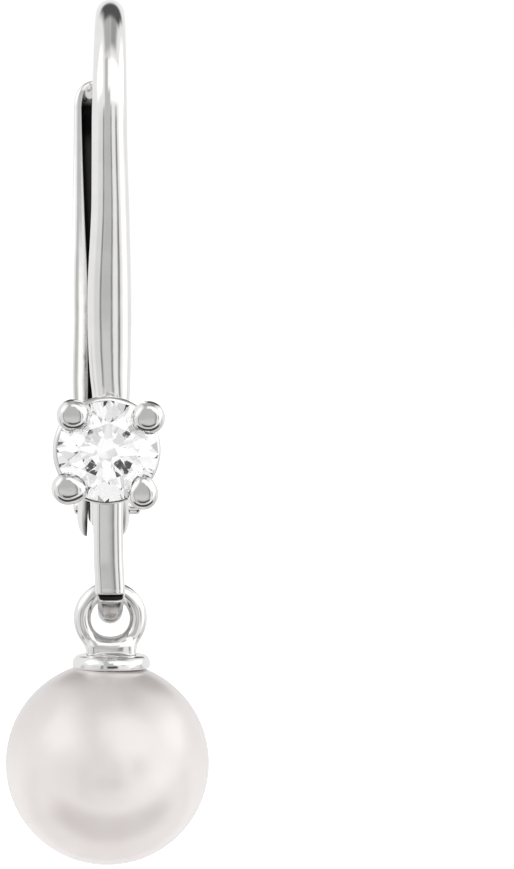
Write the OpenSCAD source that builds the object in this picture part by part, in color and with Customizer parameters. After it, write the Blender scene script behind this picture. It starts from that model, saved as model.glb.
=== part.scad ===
// Leverback drop earring: ear wire with a claw-set brilliant, back lever, and a pearl drop on a ring.
// X is to the wearer's side, Y goes back, Z is up; the origin is the inner top of the arch.

/* [Ear wire] */
// Thickness of the wire at the top of the arch
wire_d = 0.8; // [0.7:0.05:0.9]
// Radius of the arch, to the middle of the wire
arch_r = 3.1; // [3.0:0.05:3.3]
// Sideways lean of the arch at its top
arch_lean = 0.16; // [0:0.02:0.18]
// Straight length of the tail below the arch
tail_len = 0.45; // [0.2:0.05:0.6]
// Thickness of the tail where it nests in the lever
tail_d = 0.7; // [0.6:0.05:0.75]
// Front-to-back thickness of the front bar
bar_t = 0.75; // [0.6:0.05:0.85]
// Width of the bail loop at its lowest point
loop_w = 0.72; // [0.6:0.02:0.8]
// Front-to-back thickness of the bail loop
loop_t = 0.68; // [0.6:0.02:0.75]
// Inner radius of the bail loop
loop_in_r = 0.41; // [0.4:0.01:0.45]
// Height of the bail loop's centre
loop_z = -16.55; // [-16.7:0.01:-16.4]

/* [Setting and stone] */
// Diameter of the stone
stone_d = 2.95; // [2.8:0.05:3.0]
// Width of the stone's table as a share of its diameter
table_share = 0.57; // [0.53:0.01:0.62]
// Slope of the stone's crown
crown_angle = 34.5; // [33:0.5:36]
// Slope of the stone's pavilion
pavilion_angle = 40.75; // [40:0.25:42]
// Height of the stone's centre
head_z = -12.45; // [-12.8:0.05:-12.2]
// Sideways place of the stone's centre, soldered a little off the bar's middle
head_x = -0.145; // [-0.25:0.005:0.1]
// Turn of the setting on the bar, clockwise from the front
head_turn = 3.4; // [0:0.2:6]
// Height of the stone's girdle in front of the bar
girdle_up = 1.4; // [1.35:0.05:1.6]

/* [Lever] */
// Distance of the hinge pin behind the bar's middle
hinge_back = 2.7; // [2.5:0.1:2.9]
// Height of the hinge pin
hinge_z = -14.3; // [-14.5:0.02:-14.1]
// Sideways place of the lever's ears and of the lug between them
hinge_x = -0.08; // [-0.12:0.01:0.02]
// Height of the lever's tip
lever_top_z = -1.47; // [-1.7:0.01:-1.3]
// Thickness of the hinge pin
pin_d = 0.5; // [0.4:0.02:0.54]
// Length of the hinge pin
pin_len = 2.04; // [1.7:0.02:2.3]
// Sideways place of the hinge pin's middle
pin_x = 0.035; // [-0.1:0.005:0.1]
// Width of the hinge lug
lug_w = 0.9; // [0.8:0.02:0.94]
// Width of the slot between the lever's ears
slot_w = 1.0; // [0.98:0.01:1.1]
// Width across the lever's ears
ears_w = 1.58; // [1.45:0.01:1.7]
// Radius of the lever's ears
ear_r = 0.9; // [0.75:0.05:0.95]

/* [Drop] */
// Diameter of the pearl
pearl_d = 6.0; // [5.5:0.1:6.5]
// Height of the pearl's centre
pearl_z = -21.78; // [-21.9:0.01:-21.7]
// Sideways place of the pearl's centre
pearl_x = -0.05; // [-0.06:0.005:0.05]
// Thickness of the ring's wire
ring_wire_d = 0.524; // [0.48:0.01:0.54]
// Radius of the ring, to the middle of its wire
ring_r = 0.826; // [0.8:0.002:0.84]
// Sideways place of the ring's centre
ring_x = 0.04; // [-0.03:0.01:0.05]
// Sideways place of the cap's centre
cap_x = 0.07; // [-0.05:0.01:0.1]
// Diameter of the cap on the pearl
cap_d = 2.3; // [2.1:0.05:2.4]
// Thickness of the peg that is glued into the pearl
peg_d = 0.8; // [0.7:0.05:0.9]
// Depth of the peg below the top of the pearl
peg_len = 2.4; // [2:0.1:3]

/* [Hidden] */

$fn = 64;
// Clearance between pieces that are set against each other
gap = 0.02;
bar_y = -arch_r;
arch_z = wire_d / 2 - arch_r;
hinge_y = bar_y + hinge_back;
loop_r = loop_in_r + loop_t / 2;
loop_y = bar_y + loop_r;
// The ring's wire rests just above the inside bottom of the loop
ring_z = loop_z - loop_in_r + 1.5 * gap + ring_wire_d / 2 - ring_r;
bar_front_y = bar_y - bar_t / 2;
stone_r = stone_d / 2;
pearl_r = pearl_d / 2;
cap_r = cap_d / 2;
cap_top = pearl_z + sqrt(pearl_r * pearl_r - cap_r * cap_r) + 0.45;
lug_r = 0.42;
girdle_t = 0.05;

// Points round a section of the ear wire, round the back of the lever's section and round a claw
WIRE_SIDES = 20;
LEVER_SIDES = 12;
CLAW_SIDES = 12;

// Front bar from the arch down: height, width, front-to-back thickness,
// flatness of the back from 0 round to 1 flat, sideways place, forward bow,
// flatness of the face
BAR = [
    [ -3.4, 1.03, 0.76, 0.35,  0.00, 0.02, 0],
    [ -4.4, 1.06, bar_t, 0.6,  0.01, 0.05, 0],
    [ -5.4, 1.10, bar_t, 0.8,  0.02, 0.08, 0],
    [ -6.3, 1.16, bar_t, 0.9,  0.01, 0.10, 0],
    [ -7.0, 1.22, bar_t, 0.9,  0.00, 0.10, 0],
    [ -7.7, 1.26, bar_t, 0.9, -0.01, 0.10, 0],
    [ -8.6, 1.27, bar_t, 0.9, -0.01, 0.10, 0],
    [ -9.5, 1.25, bar_t, 0.9,  0.00, 0.08, 0],
    [-10.3, 1.19, bar_t, 0.9,  0.02, 0.05, 0],
    [-11.0, 1.09, bar_t, 0.9,  0.04, 0.02, 0.1],
    [-12.0, 1.00, bar_t, 0.9,  0.00, 0.00, 0.4],
    [-13.2, 0.92, bar_t, 0.8, -0.03, 0.00, 0.5],
    [-14.5, 0.88, 0.72,  0.6, -0.05, 0.00, 0.6],
    [-15.7, 0.88, 0.70,  0.3, -0.04, 0.00, 0.6]
];

// Bail loop from the bar round underneath, pinched where the strip of the bar
// ends: angle, width, thickness, sideways place, flatness of the face
LOOP = [
    [180,   0.88, 0.70, 0.00, 0.6],
    [186,   0.88, 0.72, 0.00, 0.6],
    [189,   0.86, 0.71, 0.00, 0.6],
    [192,   0.79, 0.65, 0.01, 0.5],
    [196,   0.74, 0.61, 0.02, 0.5],
    [200,   0.73, 0.64, 0.02, 0.5],
    [206,   0.74, 0.69, 0.03, 0.5],
    [216,   0.75, 0.72, 0.03, 0.5],
    [230,   0.74, 0.71, 0.03, 0.4],
    [255, loop_w, 0.69, 0.03, 0.2],
    [275, loop_w, loop_t, 0.03, 0],
    [300, loop_w, loop_t, 0.03, 0],
    [330, loop_w, loop_t, 0.04, 0],
    [360, loop_w, loop_t, 0.03, 0]
];

// Lever from its tip down: length from the tip as a share, full width,
// thickness, half width of the groove, depth of the groove, sideways place
LEVER = [
    [0.060, 1.59, 0.62, 0.57, 0.34,  0.00],
    [0.150, 1.65, 0.66, 0.54, 0.36,  0.00],
    [0.260, 1.70, 0.72, 0.47, 0.38, -0.02],
    [0.370, 1.79, 0.78, 0.38, 0.42, -0.05],
    [0.460, 1.79, 0.82, 0.36, 0.42, -0.07],
    [0.540, 1.81, 0.85, 0.35, 0.42, -0.10],
    [0.620, 1.84, 0.88, 0.34, 0.42, -0.12],
    [0.700, 1.78, 0.90, 0.37, 0.40, -0.12],
    [0.770, 1.72, 0.92, 0.38, 0.36, -0.11],
    [0.830, 1.67, 0.94, 0.38, 0.24, -0.10],
    [0.880, 1.63, 1.02, 0.34, 0.08, -0.10],
    [0.920, 1.60, 1.16, 0.28, 0.02, -0.09],
    [0.960, 1.58, 1.38, 0.26, 0.02, hinge_x],
    [0.990, ears_w, 1.62, 0.26, 0.02, hinge_x]
];

// Rounded tip of the lever: length from the tip as a share, then shares of the
// width, thickness and groove depth in the first row above
TIP = [
    [0.001, 0.18, 0.55, 0.02],
    [0.004, 0.45, 0.75, 0.04],
    [0.010, 0.68, 0.90, 0.06],
    [0.018, 0.84, 0.98, 0.20],
    [0.028, 0.94, 1.00, 0.50],
    [0.042, 0.99, 1.00, 0.85]
];

// The lever's line is a curve from the tip down to the hinge, bowed to the back
LEVER_TIP = [arch_r + 0.60, lever_top_z];
LEVER_BOW = [arch_r - 0.35, hinge_z + 3.4];
LEVER_END = [hinge_y, hinge_z];

// Claws: angle round the stone from the front, distance of the tip from the stone's axis
CLAWS = [
    [ 44, 1.51],
    [138, 1.48],
    [225, 1.59],
    [312, 1.57]
];

// One claw from its foot to its tip: share of the tip's distance, height, radius
CLAW = [
    [0.50, 0.00, 0.22],
    [0.62, 0.35, 0.24],
    [0.78, 0.75, 0.26],
    [0.94, 1.12, 0.30],
    [1.03, 1.36, 0.38],
    [1.05, 1.54, 0.44],
    [1.00, 1.68, 0.46],
    [0.91, 1.78, 0.41],
    [0.81, 1.84, 0.29],
    [0.76, 1.86, 0.13]
];

// Rings of the setting: radius to the middle of the wire, half thickness of the wire, height
GALLERY = [1.42, 0.16, 0.86];
BASE = [0.82, 0.20, 0.10];

// Outline of the cap from the axis under it: radius, height above the cap's rim
CAP = [
    [0, -0.90],
    [cap_r - 0.12, -0.60],
    [cap_r - 0.02, -0.42],
    [cap_r, -0.33],
    [cap_r - 0.005, -0.24],
    [cap_r - 0.035, -0.14],
    [cap_r - 0.10, -0.05],
    [cap_r - 0.18, -0.01],
    [cap_r - 0.26, 0],
    [cap_r - 0.33, -0.03],
    [cap_r - 0.39, -0.09],
    [cap_r - 0.49, -0.10],
    [0, -0.10]
];

// Outline of the neck between the cap and the ring, and its thickness from front to back
NECK = [
    [0, -0.20],
    [0.74, -0.20],
    [0.74, 0.02],
    [0.72, 0.14],
    [0.66, 0.26],
    [0.54, 0.36],
    [0.34, 0.42],
    [0, 0.42]
];
NECK_T = 0.78;

function mix(a, b, t) = a + (b - a) * t;
function power(v, e) = sign(v) * pow(abs(v), e);

// Closed skin through rings of points, each ring with the same number of points
function skin_faces(rings, sides) = concat(
    [[for (k = [0 : sides - 1]) sides - 1 - k]],
    [[for (k = [0 : sides - 1]) (rings - 1) * sides + k]],
    [for (i = [0 : rings - 2], k = [0 : sides - 1])
        [i * sides + k, i * sides + (k + 1) % sides, (i + 1) * sides + k]],
    [for (i = [0 : rings - 2], k = [0 : sides - 1])
        [i * sides + (k + 1) % sides, (i + 1) * sides + (k + 1) % sides, (i + 1) * sides + k]]
);

module skin(rings) {
    sides = len(rings[0]);
    points = [for (ring = rings) each ring];
    polyhedron(points = points, faces = skin_faces(len(rings), sides), convexity = 8);
}

// Direction of a path of [y, z] rows at row i, and the normal on its right, seen with Y to the right:
// the outside of the arch, the front of the bar and of the lever, the underside of the loop
function path_dir(rows, i) =
    let (a = rows[max(i - 1, 0)], b = rows[min(i + 1, len(rows) - 1)], d = [b[0] - a[0], b[1] - a[1]])
    d / norm(d);
function outer_normal(d) = [d[1], -d[0]];

// The ear wire's path: y, z, width, thickness, flatness of the inner side, sideways place,
// flatness of the face
function tail_rows() = [
    for (row = [[0.02, 0.30], [0.08, 0.62], [0.2, 0.88], [0.38, 1.0]])
        [arch_r, arch_z - tail_len + row[0], tail_d * row[1], tail_d * row[1], 0, arch_lean, 0]
];
function lean_at(a) = a < 90 ? arch_lean + 0.03 * sin(2 * a) : arch_lean * pow(1 + cos(a), 0.8);
function arch_rows() = [
    for (a = [0 : 10 : 180])
        let (w = a < 90 ? mix(tail_d, wire_d, a / 90) : mix(wire_d, 1.02, pow((a - 90) / 90, 0.8)))
        let (t = a < 90 ? w : mix(wire_d, 0.77, (a - 90) / 90), flat = a < 120 ? 0 : 0.3 * (a - 120) / 60)
        [arch_r * cos(a), arch_z + arch_r * sin(a), w, t, flat, lean_at(a), 0]
];
function bar_rows() = [
    for (row = BAR) [bar_y - row[5], row[0], row[1], row[2], row[3], row[4], row[6]]
];
function loop_rows() = [
    for (row = LOOP)
        let (a = row[0], r = loop_in_r + row[2] / 2)
        [loop_y + r * cos(a), loop_z + r * sin(a), row[1], row[2], 0, row[3], row[4]]
];
function leg_rows() = [
    [loop_y + loop_r, loop_z + 0.8, loop_w, loop_t, 0, 0.02, 0],
    [loop_y + loop_r, hinge_z - 0.1, loop_w, loop_t, 0, 0.0, 0]
];

// One ring of the ear wire: an ellipse, squared on its inner half and on its face by their flatness
function wire_ring(rows, i) =
    let (row = rows[i], n = outer_normal(path_dir(rows, i)))
    [for (k = [0 : WIRE_SIDES - 1])
        let (a = -360 * k / WIRE_SIDES, e = 2 / (2 + 2.5 * (sin(a) < 0 ? row[4] : row[6])))
        let (x = row[2] / 2 * power(cos(a), e), o = row[3] / 2 * power(sin(a), e))
        [row[5] + x, row[0] + n[0] * o, row[1] + n[1] * o]];

module wire_body() {
    rows = concat(tail_rows(), arch_rows(), bar_rows(), loop_rows(), leg_rows());
    skin([for (i = [0 : len(rows) - 1]) wire_ring(rows, i)]);
}

// Extrudes a flat shape drawn in Y and Z along X, centred on X
module along_x(width) {
    rotate([90, 0, 90]) translate([0, 0, -width / 2]) linear_extrude(width) children();
}

module x_cylinder(d, length, x = 0) {
    translate([x, hinge_y, hinge_z]) rotate([0, 90, 0]) cylinder(d = d, h = length, center = true);
}

// Tongue behind the bar that carries the hinge pin
module hinge_lug() {
    translate([hinge_x, 0, 0]) along_x(lug_w) {
        translate([hinge_y, hinge_z]) circle(r = lug_r);
        translate([bar_y + 0.1, hinge_z - lug_r]) square([hinge_back - 0.1, 2 * lug_r]);
    }
}

// Frame of the setting: z points to the front out of the stone's table
module head_frame() {
    translate([head_x, bar_front_y, head_z]) rotate([90, 0, 0]) rotate([0, 0, -head_turn]) children();
}

// One claw, leaning out from the axis and bent in over the stone
module claw(angle, reach) {
    rows = [for (row = CLAW) [row[0] * reach, row[1], row[2]]];
    rings = [for (i = [0 : len(rows) - 1])
        let (n = outer_normal(path_dir(rows, i)), row = rows[i])
        [for (k = [0 : CLAW_SIDES - 1])
            let (a = -360 * k / CLAW_SIDES, r = row[2])
            [row[0] + n[0] * r * cos(a), r * sin(a), row[1] + n[1] * r * cos(a)]]
    ];
    rotate([0, 0, angle]) skin(rings);
}

// Space that the stone takes in the claws, a little larger all round
module stone_seat() {
    r = stone_r + gap;
    rim_up = girdle_up + girdle_t;
    table_up = rim_up + r * (1 - table_share) * tan(crown_angle);
    rotate_extrude() polygon([
        [0, girdle_up - r * tan(pavilion_angle) - gap],
        [r, girdle_up - gap],
        [r, rim_up + gap],
        [r * table_share, table_up + gap],
        [0, table_up + gap]
    ]);
}

module setting_ring(ring) {
    translate([0, 0, ring[2]]) rotate_extrude() translate([ring[0], 0]) circle(r = ring[1]);
}

// Four claws on two rings, with a disc of solder between the base ring and the bar
module setting() {
    head_frame() difference() {
        union() {
            for (c = CLAWS) claw(c[0], c[1]);
            setting_ring(GALLERY);
            setting_ring(BASE);
            translate([0, 0, -0.3]) cylinder(r = 0.62, h = 0.28);
        }
        stone_seat();
    }
}

module ear_wire() {
    color("gainsboro") difference() {
        union() {
            wire_body();
            hinge_lug();
            setting();
        }
        x_cylinder(pin_d + 2 * gap, 2 * lug_w);
    }
}

// Round brilliant: table, crown, girdle and pavilion rings of points
module brilliant() {
    half = 22.5;
    r_t = stone_r * table_share;
    z_t = girdle_t + (stone_r - r_t) * tan(crown_angle);
    r_s = mix(r_t * cos(half), stone_r, 0.5);
    z_s = girdle_t + (stone_r - r_s * cos(half)) * tan(crown_angle);
    r_p = 0.24 * stone_r;
    z_p = -(stone_r - r_p * cos(half)) * tan(pavilion_angle);
    points = concat(
        [for (k = [0 : 7]) [r_t * cos(45 * k), r_t * sin(45 * k), z_t]],
        [for (k = [0 : 7]) [r_s * cos(45 * k + half), r_s * sin(45 * k + half), z_s]],
        [for (k = [0 : 15]) [stone_r * cos(half * k), stone_r * sin(half * k), girdle_t]],
        [for (k = [0 : 15]) [stone_r * cos(half * k), stone_r * sin(half * k), 0]],
        [for (k = [0 : 7]) [r_p * cos(45 * k + half), r_p * sin(45 * k + half), z_p]],
        [[0, 0, -stone_r * tan(pavilion_angle)]]
    );
    // First point of each ring after the table's: star points, girdle's top and foot, pavilion
    star = 8;
    rim = 16;
    low = 32;
    pav = 48;
    faces = concat(
        [[for (k = [0 : 7]) 7 - k]],
        [for (k = [0 : 7]) [k, (k + 1) % 8, star + k]],
        [for (k = [0 : 7]) [k, star + k, rim + 2 * k, star + (k + 7) % 8]],
        [for (k = [0 : 7]) [star + k, rim + 2 * k + 1, rim + 2 * k]],
        [for (k = [0 : 7]) [star + k, rim + (2 * k + 2) % 16, rim + 2 * k + 1]],
        [for (k = [0 : 15]) [rim + k, rim + (k + 1) % 16, low + (k + 1) % 16, low + k]],
        [for (k = [0 : 7]) [pav + k, low + 2 * k, low + 2 * k + 1]],
        [for (k = [0 : 7]) [pav + k, low + 2 * k + 1, low + (2 * k + 2) % 16]],
        [for (k = [0 : 7]) [pav + 8, pav + (k + 7) % 8, low + 2 * k, pav + k]]
    );
    polyhedron(points = points, faces = faces);
}

module stone() {
    color("aliceblue") head_frame() translate([0, 0, girdle_up]) brilliant();
}

// Place and direction of the lever's line at a share of its length
function lever_point(t) =
    (1 - t) * (1 - t) * LEVER_TIP + 2 * t * (1 - t) * LEVER_BOW + t * t * LEVER_END;
function lever_dir(t) =
    let (d = 2 * (1 - t) * (LEVER_BOW - LEVER_TIP) + 2 * t * (LEVER_END - LEVER_BOW)) d / norm(d);

function lever_rows() = concat(
    [for (row = TIP)
        let (first = LEVER[0])
        [row[0], row[1] * first[1], row[2] * first[2], row[1] * first[3], row[3] * first[4], first[5]]],
    LEVER
);

// One ring of the lever: a domed back, short sides and a round groove in the front
function lever_ring(row) =
    let (p = lever_point(row[0]), n = outer_normal(lever_dir(row[0])))
    let (hw = row[1] / 2, ht = row[2] / 2, side = ht - 0.28 * row[2], ease = 0.05 * row[1])
    let (g = min(row[3], hw - 2 * ease), h = row[4])
    let (flat = concat(
        [for (k = [0 : LEVER_SIDES])
            let (a = 180 * k / LEVER_SIDES)
            [hw * cos(a), side - (ht + side) * sin(a)]],
        [[-hw, ht - ease], [-hw + ease, ht]],
        [for (k = [0 : 8]) let (a = 180 * k / 8) [-g * cos(a), ht - h * sin(a)]],
        [[hw - ease, ht], [hw, ht - ease]]
    ))
    [for (q = flat) [row[5] + q[0], p[0] + n[0] * q[1], p[1] + n[1] * q[1]]];

// A flat round plate on the hinge axis with its rims eased
module hinge_disc(r, width, ease) {
    translate([hinge_x, hinge_y, hinge_z]) rotate([0, 90, 0]) rotate_extrude() polygon([
        [0, -width / 2], [r - ease, -width / 2], [r, -width / 2 + ease],
        [r, width / 2 - ease], [r - ease, width / 2], [0, width / 2]
    ]);
}

// The slot between the ears, open to the front and below so that the lug stays free over the travel
module ear_slot() {
    slot_r = ear_r - 0.32;
    reach = 2;
    hinge_disc(slot_r, slot_w, 0);
    translate([hinge_x, 0, 0]) along_x(slot_w) {
        translate([hinge_y - reach, hinge_z - reach]) square([reach, reach + slot_r]);
        translate([hinge_y - 0.1, hinge_z - reach]) square([reach, reach]);
    }
}

module lever() {
    color("silver") difference() {
        union() {
            skin([for (row = lever_rows()) lever_ring(row)]);
            hinge_disc(ear_r, ears_w, 0.12);
        }
        ear_slot();
        x_cylinder(pin_d, 2 * ears_w);
    }
}

module hinge_pin() {
    color("lightgray") x_cylinder(pin_d, pin_len, pin_x);
}

// Ring, neck, cap and peg, soldered together
module drop_cap() {
    color("gainsboro") difference() {
        union() {
            translate([ring_x, loop_y, ring_z]) rotate([90, 0, 0])
                rotate_extrude() translate([ring_r, 0]) circle(d = ring_wire_d);
            translate([cap_x, loop_y, cap_top]) {
                rotate_extrude() polygon(CAP);
                intersection() {
                    rotate_extrude() polygon(NECK);
                    cube([2 * cap_r, NECK_T, 2 * cap_r], center = true);
                }
            }
        }
        translate([pearl_x, loop_y, pearl_z]) sphere(r = pearl_r + gap);
    }
    color("gainsboro") translate([pearl_x, loop_y, pearl_z + pearl_r - peg_len])
        cylinder(d = peg_d, h = peg_len + 0.15);
}

module pearl() {
    color("seashell") difference() {
        translate([pearl_x, loop_y, pearl_z]) sphere(r = pearl_r);
        translate([pearl_x, loop_y, pearl_z + pearl_r - peg_len - gap])
            cylinder(d = peg_d + 2 * gap, h = peg_len + 1);
    }
}

ear_wire();
stone();
lever();
hinge_pin();
drop_cap();
pearl();
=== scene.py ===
"""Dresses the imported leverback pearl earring: polished metal, cut stone and pearl, in a white studio.

Shapes are worked out in millimetres and put into metres when a piece is finished.
"""
import math

import bmesh
import bpy
import numpy as np
from mathutils import Matrix, Vector


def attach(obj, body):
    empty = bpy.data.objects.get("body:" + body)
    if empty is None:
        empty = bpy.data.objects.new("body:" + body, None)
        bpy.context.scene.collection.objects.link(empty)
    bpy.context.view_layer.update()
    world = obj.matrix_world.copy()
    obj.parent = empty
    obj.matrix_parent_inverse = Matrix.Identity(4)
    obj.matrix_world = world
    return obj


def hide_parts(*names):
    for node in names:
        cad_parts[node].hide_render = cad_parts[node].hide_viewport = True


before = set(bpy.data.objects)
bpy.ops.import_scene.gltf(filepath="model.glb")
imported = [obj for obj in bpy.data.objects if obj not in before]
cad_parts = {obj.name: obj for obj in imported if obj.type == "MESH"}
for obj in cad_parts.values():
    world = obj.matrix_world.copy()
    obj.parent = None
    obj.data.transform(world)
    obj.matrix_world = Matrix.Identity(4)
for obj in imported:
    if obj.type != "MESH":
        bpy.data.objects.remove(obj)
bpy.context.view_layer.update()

MM = 0.001

# Play between pieces that move or that glue holds
GAP = 0.02

# Ear wire: tail, arch and front bar
WIRE_D = 0.8
ARCH_R = 3.1
ARCH_LEAN = 0.16
ARCH_SWAY = 0.03
TAIL_LEN = 0.45
TAIL_D = 0.7
BAR_TOP_W = 1.02
BAR_TOP_T = 0.77
BAR_TOP_FLAT = 0.3
BAR_TOP_FLARE = 0.8
FLAT_FROM = 120
BAR_T = 0.75

# Bail loop under the bar, and its leg up to the lug
LOOP_W = 0.72
LOOP_T = 0.68
LOOP_IN_R = 0.41
LOOP_Z = -16.55
LOOP_STEP = 4
LEG_X = 0.02

# Section of the wire: how much a flatness of one squares it, where the crease with its painted shade and the
# dullness set in across its face, and the depth at which the crease's painted shade is full; the dullness is
# wear with painted shade
SQUARING = 2.5
CREASE_EDGES = (0.60, 0.74)
RUB_AND_SHADE_EDGES = (-0.3, 0.3)
CREASE_FULL_SHADE = 0.05

# Setting and stone
STONE_D = 2.95
TABLE_SHARE = 0.57
STAR_SHARE = 0.5
PAVILION_MAIN_SHARE = 0.24
CROWN_ANGLE = math.radians(34.5)
PAVILION_ANGLE = math.radians(40.75)
GIRDLE_T = 0.05
HEAD_X = -0.145
HEAD_Z = -12.45
HEAD_TURN = math.radians(3.4)
GIRDLE_UP = 1.4

# Hinge: pin, lug on the wire, slot and ears of the lever
HINGE_BACK = 2.7
HINGE_Z = -14.3
HINGE_X = -0.08
PIN_D = 0.5
PIN_LEN = 2.04
PIN_X = 0.035
LUG_W = 0.9
LUG_R = 0.42
LUG_SUNK = 0.1
LUG_EASE = 0.06
SLOT_W = 1.0
SLOT_R = 0.58
EARS_W = 1.58
EAR_R = 0.9
EAR_EDGE = 0.03
# Width over which the painted shade on the ears' inner edges fades
SLOT_SHADE_FADE = 0.12
CUT_REACH = 2.0
CUT_LAP = 0.1

# Middle line of the lever, from its tip behind the tail to the hinge
LEVER_TIP_Z = -1.47
LEVER_TIP_BACK = 0.60
LEVER_BOW_BACK = -0.35
LEVER_BOW_UP = 3.4

# Drop: pearl, ring, cap, peg and the lip of the pearl's hole
PEARL_R = 3.0
PEARL_X = -0.05
PEARL_Z = -21.78
RING_WIRE_D = 0.524
RING_R = 0.826
RING_X = 0.04
CAP_X = 0.07
CAP_R = 1.15
CAP_UP = 0.45
CAP_RECESS = -0.10
PEG_R = 0.4
PEG_LEN = 2.4
PEG_EASE = 0.06
LIP_ANGLE = 0.01
LIP_DEPTH = 0.05

# Worked out from these
BAR_Y = -ARCH_R
ARCH_Z = WIRE_D / 2 - ARCH_R
HINGE_Y = BAR_Y + HINGE_BACK
LOOP_R = LOOP_IN_R + LOOP_T / 2
LOOP_Y = BAR_Y + LOOP_R
RING_Z = LOOP_Z - LOOP_IN_R + 1.5 * GAP + RING_WIRE_D / 2 - RING_R
BAR_FRONT_Y = BAR_Y - BAR_T / 2
LEG_HEIGHTS = (LOOP_Z + 0.8, HINGE_Z - 0.1)
# Reach of that painted shade round the hinge
SLOT_SHADE_REACH = EAR_R + 0.05
STONE_R = STONE_D / 2
CAP_TOP = PEARL_Z + math.sqrt(PEARL_R ** 2 - CAP_R ** 2) + CAP_UP

# The neck under the ring is a ball squared by its power: half sizes, middle, fillet where it meets the ring
NECK_SIZE = np.array((0.73, 0.39, 0.46))
NECK_MIDDLE = np.array((CAP_X, LOOP_Y, CAP_TOP - 0.05))
NECK_POWER = 4
NECK_FILLET = 0.26
RING_VOXEL = 0.03

# Distances under which points are merged: in a finished piece, and before a union or a cut
MERGED = 0.0005
MERGED_FOR_CUTS = 0.0002

# The tail's rounded end: height above it, share of the tail's thickness
TAIL_END = [(0.0, 0.04), (0.006, 0.16), (0.02, 0.30), (0.08, 0.62), (0.2, 0.88), (0.38, 1.0)]

# Front bar from the arch down: height, width, thickness, flatness of the back, sideways place, forward bow,
# flatness of the face
BAR = [
    (-3.4, 1.03, 0.76, 0.35, 0.00, 0.02, 0.0),
    (-4.4, 1.06, BAR_T, 0.6, 0.01, 0.05, 0.0),
    (-5.4, 1.10, BAR_T, 0.8, 0.02, 0.08, 0.0),
    (-6.3, 1.16, BAR_T, 0.9, 0.01, 0.10, 0.0),
    (-7.0, 1.22, BAR_T, 0.9, 0.00, 0.10, 0.0),
    (-7.7, 1.26, BAR_T, 0.9, -0.01, 0.10, 0.0),
    (-8.6, 1.27, BAR_T, 0.9, -0.01, 0.10, 0.0),
    (-9.5, 1.25, BAR_T, 0.9, 0.00, 0.08, 0.0),
    (-10.3, 1.19, BAR_T, 0.9, 0.02, 0.05, 0.0),
    (-11.0, 1.09, BAR_T, 0.9, 0.04, 0.02, 0.1),
    (-12.0, 1.00, BAR_T, 0.9, 0.00, 0.00, 0.4),
    (-13.2, 0.92, BAR_T, 0.8, -0.03, 0.00, 0.5),
    (-14.5, 0.88, 0.72, 0.6, -0.05, 0.00, 0.6),
    (-15.7, 0.88, 0.70, 0.3, -0.04, 0.00, 0.6),
]

# Shares of the way from the bar's last row to the loop where further rows stand, closer and closer
BAR_END = (0.42, 0.68, 0.83, 0.93)

# Bail loop from the bar round underneath: angle, width, thickness, sideways place, flatness of the face,
# depth of the crease across the face, which also sets its painted shade, dullness where the ring rubs, wear
# with painted shade
LOOP = [
    (180, 0.88, 0.71, 0.00, 0.6, 0, 0),
    (185, 0.88, 0.71, 0.00, 0.6, 0, 0),
    (188, 0.88, 0.71, 0.00, 0.6, 0, 0),
    (192, 0.85, 0.71, 0.01, 0.5, 0.09, 0),
    (196, 0.81, 0.71, 0.02, 0.5, 0.09, 0.1),
    (200, 0.78, 0.71, 0.02, 0.5, 0, 0.25),
    (206, 0.76, 0.71, 0.03, 0.4, 0, 0.32),
    (216, 0.75, 0.71, 0.03, 0.2, 0, 0.32),
    (230, 0.74, 0.71, 0.03, 0.1, 0, 0.32),
    (255, LOOP_W, 0.70, 0.03, 0, 0, 0.32),
    (275, LOOP_W, 0.69, 0.03, 0, 0, 0.3),
    (300, LOOP_W, LOOP_T, 0.03, 0, 0, 0.2),
    (330, LOOP_W, LOOP_T, 0.04, 0, 0, 0),
    (360, LOOP_W, LOOP_T, 0.03, 0, 0, 0),
]

# Lever from its tip: share of its length, width, thickness, half width and depth of the groove, sideways
# place
LEVER = [
    (0.060, 1.59, 0.62, 0.57, 0.34, 0.00),
    (0.150, 1.65, 0.66, 0.54, 0.36, 0.00),
    (0.260, 1.70, 0.72, 0.47, 0.38, -0.02),
    (0.370, 1.79, 0.78, 0.38, 0.42, -0.05),
    (0.460, 1.79, 0.82, 0.36, 0.42, -0.07),
    (0.540, 1.81, 0.85, 0.35, 0.42, -0.10),
    (0.620, 1.84, 0.88, 0.34, 0.42, -0.12),
    (0.700, 1.78, 0.90, 0.37, 0.40, -0.12),
    (0.770, 1.72, 0.92, 0.38, 0.36, -0.11),
    (0.830, 1.67, 0.94, 0.38, 0.24, -0.10),
    (0.880, 1.63, 1.02, 0.34, 0.08, -0.10),
    (0.920, 1.60, 1.16, 0.28, 0.02, -0.09),
    (0.960, 1.58, 1.38, 0.26, 0.02, HINGE_X),
    (0.990, EARS_W, 1.62, 0.26, 0.02, HINGE_X),
]

# The lever's rounded tip, before those rows: share of its length, then shares of the width, thickness and
# groove depth of the first of them
LEVER_TIP = [
    (0.001, 0.18, 0.55, 0.02),
    (0.004, 0.45, 0.75, 0.04),
    (0.010, 0.68, 0.90, 0.06),
    (0.018, 0.84, 0.98, 0.20),
    (0.028, 0.94, 1.00, 0.50),
    (0.042, 0.99, 1.00, 0.85),
]

# Points round the lever, where the groove's edge falls among them as a share of the half width, how far the
# edge is crowned, and the height of the sides above the middle line; both are shares of half the thickness
LEVER_SIDES = 128
GROOVE_EDGE = math.cos(2 * math.pi * 20 / LEVER_SIDES)
LEVER_CROWN = 0.22
LEVER_DOME = 0.44

# Painted shade in the groove: it sets in from one depth to another, and ends up its edge at these shares of
# the wall
GROOVE_SHADE_DEPTHS = (0.20, 0.30)
GROOVE_SHADE_EDGE = (0.002, 0.05)

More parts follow.
